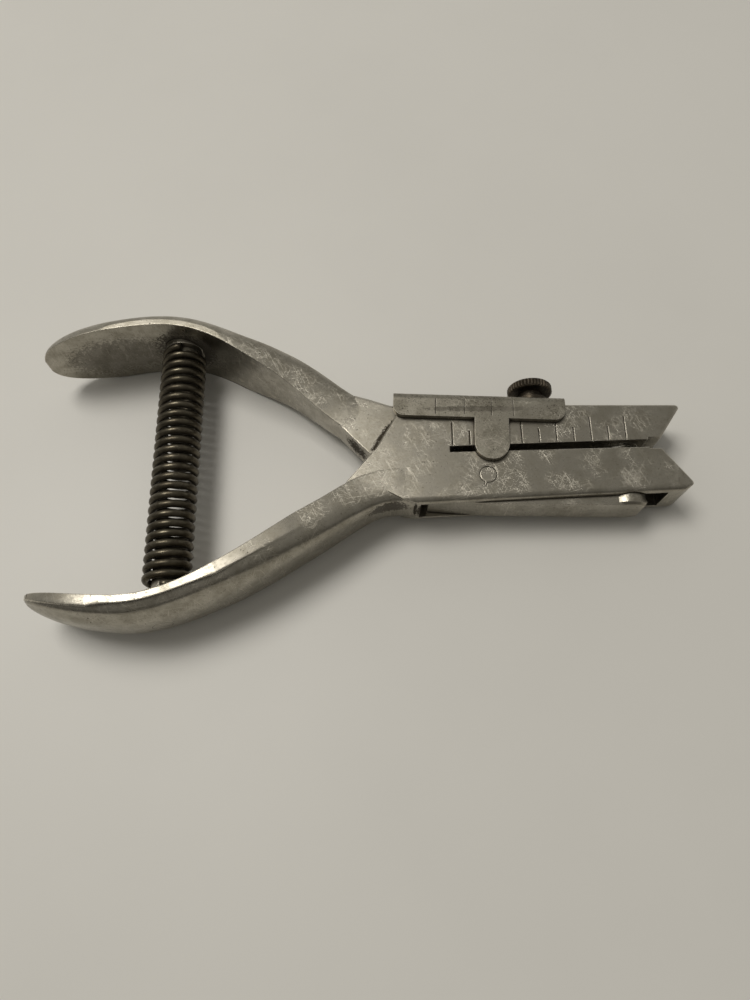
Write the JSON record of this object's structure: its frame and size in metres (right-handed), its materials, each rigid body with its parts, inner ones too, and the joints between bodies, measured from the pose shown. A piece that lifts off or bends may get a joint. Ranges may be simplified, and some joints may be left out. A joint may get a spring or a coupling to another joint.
{
  "type": "hand-held hole punch",
  "caption": "Plier-style hand punch: slotted steel jaws with a paper throat, curved handles held open by a coil spring, sliding depth gauge with knurled thumb screw",
  "frame": {"origin": "centre of the bottom of the punch's box as it lies on its side; the pivot's centre is at (24.22, -3.29, 8.25) mm", "axes": "+X along the jaws to the nose, +Y from the fixed handle to the moving handle, +Z along the pivot pin, up from the surface that it lies on"},
  "size_m": [0.1218, 0.0612, 0.0165],
  "materials": {
    "plated_steel": "worn nickel plating, satin with polished edges, fine scratches and grime in the joints",
    "sheet_steel": "dull pitted sheet with worn bright edges",
    "spring_steel": "dark oil-tempered wire, semi-gloss",
    "tool_steel": "ground hardened steel",
    "blackened_steel": "blackened, matt, with dirt in the knurl"
  },
  "bodies": {
    "frame_body": {"frame": "plated_steel", "pivot_pin": "plated_steel", "die_bush": "tool_steel", "lower_spring_post": "plated_steel", "handle_spring": "spring_steel", "clamp_washer": "blackened_steel"},
    "lever_body": {"lever": "plated_steel", "drive_pin": "tool_steel", "upper_spring_post": "plated_steel"},
    "punch_body": {"punch_pin": "tool_steel"},
    "gauge_body": {"gauge_slide": "sheet_steel"},
    "screw_body": {"thumb_screw": "blackened_steel"}
  },
  "joints": [
    {"name": "lever_hinge", "type": "hinge", "parent": "frame_body", "child": "lever_body", "pos_m": [0.02422, -0.00329, 0.00825], "axis": [0, 0, 1], "range_deg": [0, 6.5], "stiffness_Nm_per_rad": 6.6, "springref_deg": -4.98, "deforming": ["handle_spring"]},
    {"name": "punch_slide", "type": "slide", "parent": "frame_body", "child": "punch_body", "axis": [0, 1, 0], "range_m": [0, 0.00292]},
    {"name": "gauge_slide_joint", "type": "slide", "parent": "frame_body", "child": "gauge_body", "axis": [1, 0, 0], "range_m": [0, 0.02]},
    {"name": "thumb_screw_turn", "type": "hinge", "parent": "frame_body", "child": "screw_body", "pos_m": [0.03402, 0.01471, 0.00825], "axis": [0, 1, 0], "continuous": true}
  ],
  "couplings": [
    {"joint": "punch_slide", "follows": "lever_hinge", "m_per_rad": 0.02563}
  ]
}
